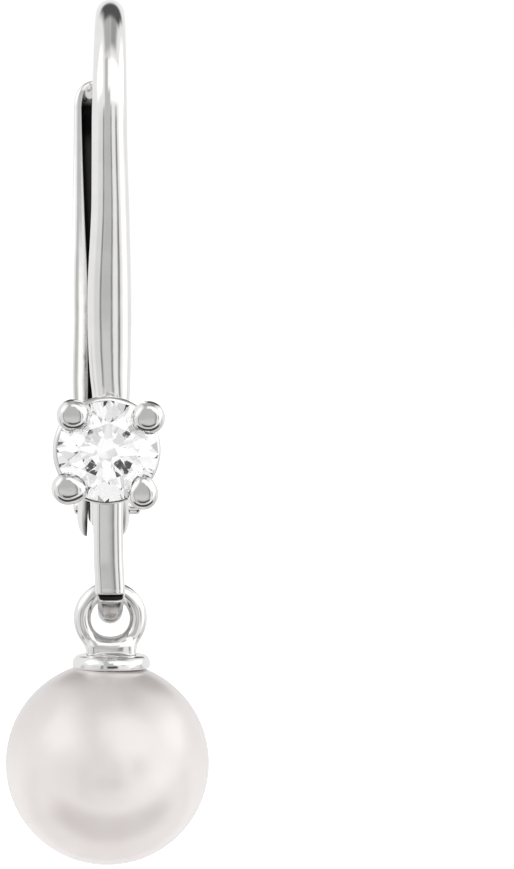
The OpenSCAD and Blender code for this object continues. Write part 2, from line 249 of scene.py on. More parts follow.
# Domed outside of an ear: shares of its radius, and the power of its rounding
EAR_SHARES = (0, 0.3, 0.5, 0.65, 0.78, 0.87, 0.94, 0.98, 1)
EAR_POWER = 3.2

# Peened head of the pin: radius, depth below its end
PIN_HEAD = [(0.0, 0), (0.10, 0.01), (0.18, 0.035), (0.23, 0.08), (PIN_D / 2, 0.15)]

# Claws: angle round the stone from the side, distance of the tip from the stone's axis, size of the tip, the
# way that it is drawn out to over the stone and by how much
CLAWS = [
    (44, 1.51, 0.485, 205, 0.10),
    (138, 1.48, 0.475, 330, 0.06),
    (225, 1.59, 0.475, 350, 0.26),
    (312, 1.57, 0.455, 88, 0.30),
]
CLAW_SPREAD = 34
CLAW_LEAN = math.radians(4)
CLAW_TOP = 2.13

# One claw from foot to tip: share of the tip's distance, height, half width
CLAW = [
    (0.50, 0.00, 0.22),
    (0.62, 0.35, 0.24),
    (0.78, 0.75, 0.26),
    (0.94, 1.12, 0.30),
    (1.02, 1.36, 0.37),
    (1.03, 1.54, 0.40),
    (1.01, 1.68, 0.36),
    (1.00, 1.80, 0.22),
    (1.00, 1.84, 0.05),
]

# Outline of a claw's pressed tip, for a tip of size one: radius, height below its top
CLAW_TIP = [
    (0, 0), (0.2, -0.003), (0.4, -0.012), (0.56, -0.032), (0.67, -0.075), (0.77, -0.15), (0.87, -0.27),
    (0.95, -0.42), (1.0, -0.58), (0.98, -0.72), (0.88, -0.88), (0.6, -0.98), (0, -1.0),
]

# Gallery ring under the stone and base ring on the bar: radius, half thickness of the wire, height
SETTING_RINGS = [(1.42, 0.16, 0.86), (0.82, 0.20, 0.10)]

# Outline of the solder under the base ring: radius, height
SETTING_FOOT = [(0, -0.30), (0.60, -0.30), (0.62, -0.28), (0.62, -0.06), (0.58, -0.02), (0, -0.02)]

# Underside of the cap, which follows the pearl: radii from the peg out, and of the rim's lower edge
CAP_UNDER = (0.5, 0.6, 0.7, 0.8, 0.9, 1.0, 1.06)
CAP_EDGE_R = 1.08
CAP_EDGE_UP = 0.01

# The cap's rim from above that edge over the top into the recess: radius, height from the cap's top
CAP_RIM = [
    (1.115, -0.395), (1.14, -0.345), (CAP_R, -0.27), (1.148, -0.22), (1.12, -0.13), (1.05, -0.045),
    (0.97, -0.008), (0.89, 0.0), (0.82, -0.03), (0.76, -0.09), (0.66, CAP_RECESS),
]

# Attributes that a sweep works with and a finished piece doesn't keep
PATH_FIELDS = (
    "half_width", "half_depth", "flat", "face", "crease", "rub_and_shade", "groove_half", "groove_depth", "side",
    "path_place", "path_along", "turn",
)

# Cards round the object. Pitch goes from the horizon in front over the top to the back, side from left to
# right, both in degrees: from, to, from, to, softness of the pitch and side edges, brightness.
CARDS = [
    (-37, 62, -24, 4, 3, 3.0, 0.52),        # grey card in front
    (-37, -3, -24, 4, 2, 3.0, 0.64),        # its lower part
    (-37, 10, -62, -32, 6, 8, 0.72),        # its pale left wing
    (-37, 9, -33, -25, 3, 3, 0.26),         # dark gap left of it
    (-10, 9, 4, 11, 4, 2.5, 0.27),          # dark gap right of it
    (-10, 9, 29, 38, 4, 3.5, 0.22),         # narrow dark card on the right
    (-25, -12, -15, 17, 2, 3, 0.06),        # small black card below the middle
    (-42, -35, -33, 20, 3, 5, 0.40),        # dark foot of the grey card
    (14, 60, 5, 48, 5, 3, 1.25),            # soft box over the front
    (26, 60, -9, 8, 5, 3, 1.1),             # its edge
    (-45, 60, 50, 84, 10, 5, 1.15),         # tall soft box on the right
    (30, 95, -70, -36, 10, 8, 1.3),         # soft box high on the left
    (60, 130, 50, 82, 12, 8, 1.5),          # soft box high on the right
    (66, 150, -24, 2, 8, 5, 0.45),          # open ceiling
    (72, 150, 2, 30, 8, 8, 0.34),           # its dark half
    (116, 150, -18, 34, 6, 5, 0.09),        # ceiling behind the object
    (-140, -92, -85, 85, 8, 4, 0.60),       # table below the object
    (-100, -40, 50, 85, 8, 8, 0.80),        # its right end
    (-100, -40, -85, -50, 8, 8, 0.78),      # its left end
    (-94, -54, -50, 56, 3, 8, 0.06),        # its dark front edge
]
ROOM_WHITE = 0.86

# Pale floor, in metres
FLOOR_R = 1.2
FLOOR_Z = -0.032

# The camera: turn to the left, distance, height, dip, turn to the right that sets the earring left in the
# picture, length of the lens and width of the sensor
CAMERA_TURN = math.radians(2.5)
CAMERA_BACK = 140.0
CAMERA_Z = -6.2
CAMERA_DIP = math.radians(2.39)
CAMERA_YAW = math.radians(1.765)
LENS = 334.9
SENSOR = 36.0


# Building node trees


class Socket:
    """An output of a node; arithmetic on it adds Math nodes, or Vector Math nodes for vectors."""

    def __init__(self, tree, socket):
        self.tree = tree
        self.socket = socket

    def __getitem__(self, name):
        return Socket(self.tree, self.socket.node.outputs[name])

    def __add__(self, other):
        return self.tree.maths("ADD", self, other)

    def __radd__(self, other):
        return self.tree.maths("ADD", other, self)

    def __sub__(self, other):
        return self.tree.maths("SUBTRACT", self, other)

    def __rsub__(self, other):
        return self.tree.maths("SUBTRACT", other, self)

    def __mul__(self, other):
        return self.tree.maths("MULTIPLY", self, other)

    def __rmul__(self, other):
        return self.tree.maths("MULTIPLY", other, self)

    def __truediv__(self, other):
        return self.tree.maths("DIVIDE", self, other)

    def __rtruediv__(self, other):
        return self.tree.maths("DIVIDE", other, self)

    def __pow__(self, other):
        return self.tree.maths("POWER", self, other)

    def __abs__(self):
        return self.tree.maths("ABSOLUTE", self)

    def __lt__(self, other):
        return self.tree.maths("LESS_THAN", self, other)

    def __gt__(self, other):
        return self.tree.maths("GREATER_THAN", self, other)


class Tree:
    """Adds nodes to the node tree of a material, the world or a geometry group."""

    def __init__(self, node_tree):
        self.nodes = node_tree.nodes
        self.links = node_tree.links

    def add(self, kind, settings=None, sockets=None, output=0):
        """One node: its settings are set first, then the values or links of its sockets."""
        node = self.nodes.new(kind)
        for name, value in (settings or {}).items():
            setattr(node, name, value)
        for key, value in (sockets or {}).items():
            if isinstance(value, Socket):
                self.links.new(value.socket, node.inputs[key])
            else:
                node.inputs[key].default_value = value
        return Socket(self, node.outputs[output]) if node.outputs else node

    def maths(self, operation, *terms):
        wide = any(isinstance(term, Socket) and term.socket.type in ("VECTOR", "RGBA") for term in terms)
        if wide:
            terms = [term if isinstance(term, (Socket, tuple)) else (term, term, term) for term in terms]
        kind = "ShaderNodeVectorMath" if wide else "ShaderNodeMath"
        return self.add(kind, {"operation": operation}, dict(enumerate(terms)))

    def larger(self, a, b):
        return self.maths("MAXIMUM", a, b)

    def smaller(self, a, b):
        return self.maths("MINIMUM", a, b)

    def sign(self, a):
        return self.maths("SIGN", a)

    def root(self, a):
        return self.maths("SQRT", a)

    def blend(self, factor, a, b):
        """Mixes two colours."""
        return self.add("ShaderNodeMix", {"data_type": "RGBA"}, {0: factor, 6: a, 7: b}, output=2)

    def ramped(self, value, low, high, start=0.0, end=1.0):
        """Goes smoothly from start to end while the value goes from low to high."""
        sockets = {"Value": value, "From Min": low, "From Max": high, "To Min": start, "To Max": end}
        return self.add("ShaderNodeMapRange", {"interpolation_type": "SMOOTHSTEP"}, sockets)

    def band(self, value, low, high, soft):
        """One between low and high, with soft edges."""
        risen = self.ramped(value, low - soft, low + soft)
        return risen * self.ramped(value, high - soft, high + soft, 1.0, 0.0)

    def noise(self, place, scale, detail=2.0, roughness=0.5):
        sockets = {"Vector": place, "Scale": scale, "Detail": detail, "Roughness": roughness}
        return self.add("ShaderNodeTexNoise", None, sockets)

    def bump(self, strength, distance, height, **more):
        """A Bump node; the distance is in millimetres."""
        sockets = {"Strength": strength, "Distance": distance * MM, "Height": height, **more}
        return self.add("ShaderNodeBump", None, sockets)

    def attribute(self, name, kind="FLOAT"):
        """A named attribute, in a geometry group."""
        return self.add("GeometryNodeInputNamedAttribute", {"data_type": kind}, {"Name": name})

    def stored(self, geometry, name, value, kind="FLOAT_VECTOR"):
        """The geometry with a value kept at its points under a name."""
        sockets = {"Geometry": geometry, "Name": name, "Value": value}
        return self.add("GeometryNodeStoreNamedAttribute", {"data_type": kind, "domain": "POINT"}, sockets)


# Materials


def new_material(name):
    material = bpy.data.materials.new(name)
    material.use_nodes = True
    material.node_tree.nodes.clear()
    return material, Tree(material.node_tree)


def object_place(tree, stretch=(1, 1, 1)):
    """Object coordinates in millimetres, stretched along an axis where a mark runs along it."""
    place = tree.add("ShaderNodeTexCoord", output="Object")
    scale = tuple(s / MM for s in stretch)
    return tree.add("ShaderNodeMapping", None, {"Vector": place, "Scale": scale})


def surface(tree, sockets):
    """Ends a material in one Principled shader with these sockets."""
    shader = tree.add("ShaderNodeBsdfPrincipled", None, sockets)
    tree.add("ShaderNodeOutputMaterial", None, {"Surface": shader})


def white_gold():
    """Bright polished white gold with faint upright polishing lines and soft handling haze; where the
    attribute shade is high, in the groove, the crease and the slot, painted shade makes it dark and rough,
    and on the loop where the ring rubs it is duller wear with some painted shade."""
    material, tree = new_material("white_gold_polish")
    place = object_place(tree)
    lines = tree.noise(object_place(tree, (1, 1, 0.12)), 55.0, 3.0, 0.6)
    haze = tree.noise(place, 1.3, 3.0)
    ripple = tree.noise(place, 2.2, 1.0)
    # Attribute shade: how far the base colour is blended to the painted shade colour
    shade = tree.add("ShaderNodeAttribute", {"attribute_name": "shade"}, output="Fac")
    roughness = tree.ramped(haze, 0.35, 0.75, 0.06, 0.11) + lines * 0.03 + shade * 0.35
    bright = tree.blend(tree.ramped(haze, 0.3, 0.7), (0.90, 0.89, 0.885, 1), (0.94, 0.935, 0.93, 1))
    # Colour of the painted shade, nearly black
    painted_dark = tree.blend(lines, (0.012, 0.011, 0.012, 1), (0.05, 0.047, 0.048, 1))
    wave = tree.bump(0.10, 0.02, ripple)
    surface(tree, {
        "Base Color": tree.blend(shade, bright, painted_dark), "Metallic": 1.0, "Roughness": roughness,
        "Normal": tree.bump(0.035, 0.004, lines, Normal=wave),
    })
    return material


def nacre():
    """White nacre: a rose body with slow clouds under a soft, bright lustre."""
    material, tree = new_material("pearl_nacre")
    place = object_place(tree)
    cloud = tree.noise(place, 0.45, 3.0)
    skin = tree.noise(place, 2.5, 3.0, 0.6)
    clouds = tree.ramped(cloud, 0.35, 0.7)
    surface(tree, {
        "Base Color": tree.blend(clouds, (0.725, 0.655, 0.632, 1), (0.77, 0.71, 0.69, 1)),
        "Roughness": tree.ramped(skin, 0.3, 0.7, 0.30, 0.36),
        "Normal": tree.bump(0.03, 0.01, skin),
        "IOR": 2.4, "Coat Weight": 1.0, "Coat Roughness": 0.27, "Coat IOR": 2.5,
    })
    return material


def diamond():
    """Clear cut diamond."""
    material, tree = new_material("diamond_cut")
    haze = tree.noise(object_place(tree), 3.0, 2.0)
    surface(tree, {
        "Base Color": tree.blend(haze, (0.985, 0.985, 0.99, 1), (1.0, 1.0, 1.0, 1)),
        "Roughness": 0.0, "IOR": 2.417, "Transmission Weight": 1.0,
    })
    return material


# Making meshes


def mix(a, b, t):
    return a + (b - a) * t


def on_circle(radius, a, up):
    return Vector((radius * math.cos(a), radius * math.sin(a), up))


def round_angles(count, offset=0.0):
    return [2 * math.pi * i / count + offset for i in range(count)]


def new_object(name, mesh):
    thing = bpy.data.objects.new(name, mesh)
    bpy.context.scene.collection.objects.link(thing)
    return thing


def as_mesh(name, shape):
    """A mesh from a bmesh, which is freed."""
    mesh = bpy.data.meshes.new(name)
    shape.to_mesh(mesh)
    shape.free()
    return mesh


def evaluated_mesh(thing):
    """The object's mesh with its modifiers worked in, as plain data."""
    graph = bpy.context.evaluated_depsgraph_get()
    return bpy.data.meshes.new_from_object(thing.evaluated_get(graph), depsgraph=graph)


def places_of(mesh):
    places = np.empty(len(mesh.vertices) * 3)
    mesh.vertices.foreach_get("co", places)
    return places.reshape(-1, 3)


def merged(mesh, distance, scale=1.0):
    """A mesh with its doubles merged, its faces outward, and then scaled."""
    shape = bmesh.new()
    shape.from_mesh(mesh)
    bmesh.ops.remove_doubles(shape, verts=shape.verts, dist=distance)
    bmesh.ops.recalc_face_normals(shape, faces=shape.faces)
    bmesh.ops.transform(shape, matrix=Matrix.Scale(scale, 4), verts=shape.verts)
    shape.to_mesh(mesh)
    shape.free()
    return mesh


def finished(name, mesh, material=None, sharp=None):
    """Puts a mesh in millimetres into the scene in metres: flat facets where sharp is 0, else smooth, with
    edges past the angle sharp kept sharp."""
    for attribute in [a.name for a in mesh.attributes if a.name in PATH_FIELDS]:
        mesh.attributes.remove(mesh.attributes[attribute])
    merged(mesh, MERGED, MM)
    if sharp == 0:
        mesh.shade_flat()
    else:
        mesh.shade_smooth()
        if sharp:
            mesh.set_sharp_from_angle(angle=math.radians(sharp))
    if material:
        mesh.materials.clear()
        mesh.materials.append(material)
    mesh.name = name
    return new_object(name, mesh)


def lathe(outline, steps, place):
    """Turns an outline of radius and height, from the axis round to the axis, about the place's Z."""
    shape = bmesh.new()
    rings = []
    for radius, up in outline:
        if radius < 1e-6:
            rings.append([shape.verts.new(place @ Vector((0, 0, up)))] * steps)
        else:
            rings.append([shape.verts.new(place @ on_circle(radius, a, up)) for a in round_angles(steps)])
    for low, high in zip(rings, rings[1:]):
        for i in range(steps):
            j = (i + 1) % steps
            face = list(dict.fromkeys((low[i], low[j], high[j], high[i])))
            if len(face) > 2:
                shape.faces.new(face)
    return as_mesh("lathe", shape)


def rod(radius, half, steps, place):
    """A plain round rod along the place's Z, for a cut."""
    return lathe([(0, -half), (radius, -half), (radius, half), (0, half)], steps, place)


def plate(outline, width, x):
    """A plate of even thickness from an outline in Y and Z."""
    count = len(outline)
    points = [(x + side * width / 2, y, z) for side in (-1, 1) for y, z in outline]
    faces = [tuple(range(count)), tuple(range(2 * count - 1, count - 1, -1))]
    faces += [(i, i + count, (i + 1) % count + count, (i + 1) % count) for i in range(count)]
    mesh = bpy.data.meshes.new("plate")
    mesh.from_pydata(points, [], faces)
    return mesh


def box_outline(y0, z0, y1, z1):
    """Outline of a box in Y and Z, for a plate."""
    return [(y0, z0), (y1, z0), (y1, z1), (y0, z1)]


def eased(mesh, width):
    """Rounds the sharp edges of a mesh."""
    thing = new_object("eased", mesh)
    bevel = thing.modifiers.new("Ease", "BEVEL")
    bevel.width = width
    bevel.segments = 3
    bevel.limit_method = "ANGLE"
    bevel.angle_limit = math.radians(50)
    result = evaluated_mesh(thing)
    bpy.data.objects.remove(thing)
    return result


def body_of(name, mesh):
    """A closed body that a union or a cut works on."""
    return new_object(name, merged(mesh, MERGED_FOR_CUTS))


def carved(thing, steps):
    """Unites a shape with others, or cuts them out of it, and takes the others away."""
    for operation, other in steps:
        boolean = thing.modifiers.new(operation, "BOOLEAN")
        boolean.operation = operation
        boolean.solver = "EXACT"
        boolean.object = other
    mesh = evaluated_mesh(thing)
    for other in [thing] + [other for _, other in steps]:
        bpy.data.objects.remove(other)
    return mesh


def flowing(points, steps=6):
    """A smooth line through points, by the Catmull-Rom formula."""
    line = []
    last = len(points) - 1
    for i in range(last):
        before, a, b, after = (Vector(points[k]) for k in (max(i - 1, 0), i, i + 1, min(i + 2, last)))
        for step in range(steps):
            t = step / steps
            line.append(tuple(0.5 * (2 * a + (b - before) * t + (2 * before - 5 * a + 4 * b - after) * t ** 2
                                     + (3 * a - before - 3 * b + after) * t ** 3)))
    line.append(tuple(points[-1]))
    return line


def drawn_onto(mesh, depth_of, rounds=5, step=1e-4):
    """Moves each point straight onto the skin where the depth is nothing."""
    places = places_of(mesh)
    for _ in range(rounds):
        depth = depth_of(places)
        slope = np.stack([(depth_of(places + step * axis) - depth_of(places - step * axis)) / (2 * step)
                          for axis in np.eye(3)], axis=1)
        places -= (depth / np.maximum((slope ** 2).sum(axis=1), 1e-3))[:, None] * slope
    mesh.vertices.foreach_set("co", places.ravel())
    mesh.update()


# Sweeping a section along paths


def seed_of_paths(name, paths):
    """Edge paths with a number or a vector at each point; a path has points, fields, and may be closed."""
    points = [point for path in paths for point in path["points"]]
    edges = []
    start = 0
    for path in paths:
        count = len(path["points"])
        edges += [(start + i, start + i + 1) for i in range(count - 1)]
        if path.get("closed"):
            edges.append((start + count - 1, start))
        start += count
    mesh = bpy.data.meshes.new(name)
    mesh.from_pydata(points, edges, [])
    for field in paths[0]["fields"]:
        values = [value for path in paths for value in path["fields"][field]]
        if isinstance(values[0], (int, float)):
            data = mesh.attributes.new(field, "FLOAT", "POINT").data
            data.foreach_set("value", values)
        else:
            data = mesh.attributes.new(field, "FLOAT_VECTOR", "POINT").data
            data.foreach_set("vector", [c for value in values for c in value])
    return mesh


def sweep_group(name, sizes, section):
    """A group that sweeps a section, worked out at each point, along every path of its seed."""
    group = bpy.data.node_groups.new(name, "GeometryNodeTree")
    face = group.interface
    face.new_socket("Seed", in_out="INPUT", socket_type="NodeSocketGeometry")
    for label, value in sizes.items():
        kind = "NodeSocketInt" if isinstance(value, int) else "NodeSocketFloat"
        face.new_socket(label, in_out="INPUT", socket_type=kind).default_value = value
    face.new_socket("Finish", in_out="INPUT", socket_type="NodeSocketMaterial")
    face.new_socket("Piece", in_out="OUTPUT", socket_type="NodeSocketGeometry")
    tree = Tree(group)
    given = tree.add("NodeGroupInput")
    path = tree.add("GeometryNodeMeshToCurve", None, {"Mesh": given["Seed"]})
    path = tree.add("GeometryNodeCurveSplineType", {"spline_type": "CATMULL_ROM"}, {"Curve": path})
    steps = {"Geometry": path, "Resolution": given["Steps"]}
    path = tree.add("GeometryNodeSetSplineResolution", None, steps)
    path = tree.add("GeometryNodeResampleCurve", {"mode": "EVALUATED"}, {"Curve": path})
    path = tree.stored(path, "path_place", tree.add("GeometryNodeInputPosition"))
    path = tree.stored(path, "path_along", tree.add("GeometryNodeInputTangent"))
    ring = {"Resolution": given["Sides"], "Radius": 1.0}
    ring = tree.add("GeometryNodeCurvePrimitiveCircle", {"mode": "RADIUS"}, ring)
    ring = tree.stored(ring, "turn", tree.add("GeometryNodeInputPosition"))
    skin = {"Curve": path, "Profile Curve": ring, "Fill Caps": True}
    skin = tree.add("GeometryNodeCurveToMesh", None, skin)
    turn = tree.add("ShaderNodeSeparateXYZ", None, {0: tree.attribute("turn", "FLOAT_VECTOR")})
    across, outward, shade = section(tree, given, turn["X"], turn["Y"])
    side = tree.attribute("side", "FLOAT_VECTOR")
    normal = tree.maths("CROSS_PRODUCT", tree.attribute("path_along", "FLOAT_VECTOR"), side)
    normal = tree.maths("NORMALIZE", normal)
    place = tree.attribute("path_place", "FLOAT_VECTOR") + side * across + normal * outward
    skin = tree.stored(skin, "shade", shade, "FLOAT")
    skin = tree.add("GeometryNodeSetPosition", None, {"Geometry": skin, "Position": place})
    skin = tree.add("GeometryNodeRealizeInstances", None, {"Geometry": skin})
    skin = tree.add("GeometryNodeSetMaterial", None, {"Geometry": skin, "Material": given["Finish"]})
    tree.add("NodeGroupOutput", None, {"Piece": skin})
    return group


def swept(name, paths, sizes, section, material):
    """Sweeps a section along paths and returns the plain mesh, still in millimetres."""
    thing = new_object(name, seed_of_paths(name, paths))
    modifier = thing.modifiers.new("Sweep", "NODES")
    modifier.node_group = sweep_group(name, sizes, section)
    values = dict(sizes, Finish=material)
    for item in modifier.node_group.interface.items_tree:
        if item.name in values:
            modifier[item.identifier] = values[item.name]
    mesh = evaluated_mesh(thing)
    bpy.data.objects.remove(thing)
    return mesh


def round_section(tree, given, c, s):
    return tree.attribute("half_width") * c, tree.attribute("half_depth") * s, 0.0


def bar_section(tree, given, c, s):
    """An ellipse that is squared towards a box by one flatness on its inner side and another on its face,
    with a crease across the middle of the face that carries painted shade, and duller wear with painted
    shade where the ring rubs."""
    face = tree.attribute("face")
    square = face + (s < 0) * (tree.attribute("flat") - face)
    power = 2 / (2 + SQUARING * square)
    across = tree.attribute("half_width") * tree.sign(c) * abs(c) ** power
    outward = tree.attribute("half_depth") * tree.sign(s) * abs(s) ** power
    middle = tree.ramped(s, *CREASE_EDGES)
    crease = tree.attribute("crease")
    # Painted shade in the crease, full once the crease is deep enough
    painted_dark = middle * tree.ramped(crease, 0.0, CREASE_FULL_SHADE)
    # Where the ring rubs: rougher wear, and a darker colour that is painted shade
    dull_and_shade = tree.attribute("rub_and_shade") * tree.ramped(s, *RUB_AND_SHADE_EDGES)
    return across, outward - middle * crease, tree.larger(painted_dark, dull_and_shade)


def channel_section(tree, given, c, s):
    """A domed back, and a front whose crowned edges stand on both sides of a round groove, which carries
    painted shade.
    """
    half = tree.attribute("half_width")
    depth = tree.attribute("half_depth")
    groove = tree.attribute("groove_half")
    groove_depth = tree.attribute("groove_depth")
    inside = tree.smaller(abs(c) / GROOVE_EDGE, 1)
    wall = tree.larger((abs(c) - GROOVE_EDGE) / (1 - GROOVE_EDGE), 0)
    x = tree.sign(c) * (groove * inside + (half - groove) * wall)
    crown = given["Crown"] * depth * wall ** 4
    hollow = groove_depth * tree.root(1 - inside ** 2)
    front = depth - crown - hollow
    side = LEVER_DOME * depth
    back = side + (depth + side) * s
    # Painted shade in the hollow of the groove
    shade = (s > 0) * tree.ramped(groove_depth, *GROOVE_SHADE_DEPTHS)
    shade = shade * tree.ramped(wall, *GROOVE_SHADE_EDGE, 1.0, 0.0)
    return x, back + (s > 0) * (front - back), shade


# The ear wire


def wire_rows():
    """Rows of the ear wire from its tail over the arch and down the bar to the loop and its leg: place,
    width, thickness, flatness of the back and of the face, depth of the crease, which also sets its painted
    shade, dullness with painted shade."""
    rows = []
    for up, share in TAIL_END:
        rows.append((ARCH_LEAN, ARCH_R, ARCH_Z - TAIL_LEN + up, TAIL_D * share, TAIL_D * share, 0, 0, 0, 0))
    for turn in range(0, 181, 10):
        a = math.radians(turn)
        back = turn < 90
        t = (turn - 90) / 90
        width = mix(TAIL_D, WIRE_D, turn / 90) if back else mix(WIRE_D, BAR_TOP_W, t ** BAR_TOP_FLARE)
        thick = width if back else mix(WIRE_D, BAR_TOP_T, t)
        lean = ARCH_LEAN + ARCH_SWAY * math.sin(2 * a)
        if not back:
            lean = ARCH_LEAN * (1 + math.cos(a)) ** BAR_TOP_FLARE
        flat = 0 if turn < FLAT_FROM else BAR_TOP_FLAT * (turn - FLAT_FROM) / (180 - FLAT_FROM)
        rows.append((lean, ARCH_R * math.cos(a), ARCH_Z + ARCH_R * math.sin(a), width, thick, flat, 0, 0, 0))
    for z, width, thick, flat, side, bow, face in BAR:
        rows.append((side, BAR_Y - bow, z, width, thick, flat, face, 0, 0))
    side, bar_y, bar_z, width, bar_thick, bar_flat, face, _, _ = rows[-1]
    thick = LOOP[0][2]
    for share in BAR_END:
        y, z = mix(bar_y, LOOP_Y - LOOP_IN_R - thick / 2, share), mix(bar_z, LOOP_Z, share)
        rest = 1 - share
        rows.append((side * rest, y, z, width, mix(bar_thick, thick, share), bar_flat * rest, face, 0, 0))
    turns, *columns = np.array(LOOP).T
    for turn in range(180, 361, LOOP_STEP):
        width, thick, side, face, crease, rub_and_shade = (float(np.interp(turn, turns, column)) for column in columns)
        a = math.radians(turn)
        r = LOOP_IN_R + thick / 2
        y, z = LOOP_Y + r * math.cos(a), LOOP_Z + r * math.sin(a)
        rows.append((side, y, z, width, thick, 0, face, crease, rub_and_shade))
    for z in LEG_HEIGHTS:
        rows.append((LEG_X, LOOP_Y + LOOP_R, z, LOOP_W, LOOP_T, 0, 0, 0, 0))
    return rows


def ear_wire_body(metal):
    x, y, z, width, thick, flat, face, crease, rub_and_shade = zip(*wire_rows())
    path = {
        "points": list(zip(x, y, z)),
        "fields": {
            "side": [(1, 0, 0)] * len(x),
            "half_width": [w / 2 for w in width],
            "half_depth": [t / 2 for t in thick],
            "flat": flat,
            "face": face,
            "crease": crease,
            "rub_and_shade": rub_and_shade,
        },
    }
    mesh = swept("ear_wire_sweep", [path], {"Steps": 6, "Sides": 96}, bar_section, metal)
    return finished("ear_wire_body", mesh)


def hinge_place(x=HINGE_X):
    """From a frame whose Z runs along the pin to the earring's."""
    return Matrix.Translation((x, HINGE_Y, HINGE_Z)) @ Matrix.Rotation(math.pi / 2, 4, "Y")


def hinge_lug(metal):
    """The tongue behind the bar that carries the pin, with eased edges."""
    outline = []
    for turn in range(-90, 91, 10):
        a = math.radians(turn)
        outline.append((HINGE_Y + LUG_R * math.cos(a), HINGE_Z + LUG_R * math.sin(a)))
    outline.append((BAR_Y + LUG_SUNK, HINGE_Z + LUG_R))
    outline.append((BAR_Y + LUG_SUNK, HINGE_Z - LUG_R))
    lug = new_object("lug", eased(plate(outline, LUG_W, HINGE_X), LUG_EASE))
    bore = body_of("lug_bore", rod(PIN_D / 2 + GAP, 1, 48, hinge_place()))
    return finished("hinge_lug", carved(lug, [("DIFFERENCE", bore)]), metal, sharp=35)


# The setting and the stone


def head_place():
    """From the setting's own frame, with Z to the front out of the table, to the earring's."""
    place = Matrix.Translation((HEAD_X, BAR_FRONT_Y, HEAD_Z))
    return place @ Matrix.Rotation(math.pi / 2, 4, "X") @ Matrix.Rotation(-HEAD_TURN, 4, "Z")


def claw_path(head, turn, reach):
    spin = head @ Matrix.Rotation(math.radians(turn), 4, "Z")
    side = -(spin.to_3x3() @ Vector((0, 1, 0)))
    return {
        "points": [tuple(spin @ Vector((share * reach, 0, up))) for share, up, _ in CLAW],
        "fields": {
            "side": [tuple(side)] * len(CLAW),
            "half_width": [row[2] for row in CLAW],
            "half_depth": [row[2] for row in CLAW],
        },
    }


def claw_tip(head, turn, reach, size, way, drawn):
    """A tip pressed over the stone, with a flat top that leans a little to the left."""
    middle = on_circle(reach, math.radians(turn), CLAW_TOP)
    tip = lathe(flowing(CLAW_TIP, 4), 64, Matrix.Rotation(-CLAW_LEAN, 4, "Y") @ Matrix.Scale(size, 4))
    for point in tip.vertices:
        around = math.atan2(point.co.y, point.co.x) - math.radians(way) - HEAD_TURN
        off = (math.degrees(around) + 180) % 360 - 180
        stretch = 1 + drawn * math.exp(-(off / CLAW_SPREAD) ** 2)
        point.co = head @ (middle + Vector((point.co.x * stretch, point.co.y * stretch, point.co.z)))
    return tip


def claws(metal):
    """Four claws that lean out from the bar, with their tips."""
    head = head_place()
    paths = [claw_path(head, turn, reach) for turn, reach, *_ in CLAWS]
    mesh = swept("claw_sweep", paths, {"Steps": 6, "Sides": 40}, round_section, metal)
    shape = bmesh.new()
    shape.from_mesh(mesh)
    for claw in CLAWS:
        shape.from_mesh(claw_tip(head, *claw))
    shape.to_mesh(mesh)
    shape.free()
    return finished("claws", mesh)


def setting_rings(metal):
    """Gallery ring under the stone and base ring on the bar."""
    head = head_place()
    count = 24
    paths = []
    for radius, thick, up in SETTING_RINGS:
        paths.append({
            "points": [tuple(head @ on_circle(radius, a, up)) for a in round_angles(count)],
            "closed": True,
            "fields": {
                "side": [(0, -1, 0)] * count,
                "half_width": [thick] * count,
                "half_depth": [thick] * count,
            },
        })
    mesh = swept("setting_ring_sweep", paths, {"Steps": 4, "Sides": 32}, round_section, metal)
    return finished("setting_rings", mesh)


def setting_foot(metal):
    """Disc of solder between the base ring and the bar."""
    return finished("setting_foot", lathe(SETTING_FOOT, 48, head_place()), metal, sharp=40)


def brilliant(material):
    """Round brilliant: table, stars, kites, upper and lower halves, mains and a faceted girdle."""
    half = math.pi / 8
    table_r = STONE_R * TABLE_SHARE
    table_z = GIRDLE_T + (STONE_R - table_r) * math.tan(CROWN_ANGLE)
    star_r = mix(table_r * math.cos(half), STONE_R, STAR_SHARE)
    star_z = GIRDLE_T + (STONE_R - star_r * math.cos(half)) * math.tan(CROWN_ANGLE)
    main_r = PAVILION_MAIN_SHARE * STONE_R
    main_z = -(STONE_R - main_r * math.cos(half)) * math.tan(PAVILION_ANGLE)
    shape = bmesh.new()
    head = head_place() @ Matrix.Translation((0, 0, GIRDLE_UP))

    def ring(count, radius, up, offset=0.0):
        return [shape.verts.new(head @ on_circle(radius, a, up)) for a in round_angles(count, offset)]

    table = ring(8, table_r, table_z)
    star = ring(8, star_r, star_z, half)
    rim = ring(16, STONE_R, GIRDLE_T)
    low = ring(16, STONE_R, 0.0)
    main = ring(8, main_r, main_z, half)
    culet = shape.verts.new(head @ Vector((0, 0, -STONE_R * math.tan(PAVILION_ANGLE))))
    shape.faces.new(table)
    for k in range(8):
        n = (k + 1) % 8
        shape.faces.new((table[k], star[k], table[n]))
        shape.faces.new((table[k], star[k - 1], rim[2 * k], star[k]))
        shape.faces.new((star[k], rim[2 * k], rim[2 * k + 1]))
        shape.faces.new((star[k], rim[2 * k + 1], rim[(2 * k + 2) % 16]))
        shape.faces.new((main[k], low[2 * k], low[2 * k + 1]))
        shape.faces.new((main[k], low[2 * k + 1], low[(2 * k + 2) % 16]))
        shape.faces.new((culet, main[k - 1], low[2 * k], main[k]))
    for k in range(16):
        n = (k + 1) % 16
        shape.faces.new((rim[k], rim[n], low[n], low[k]))
    return finished("stone", as_mesh("brilliant", shape), material, sharp=0)


# The lever and its pin


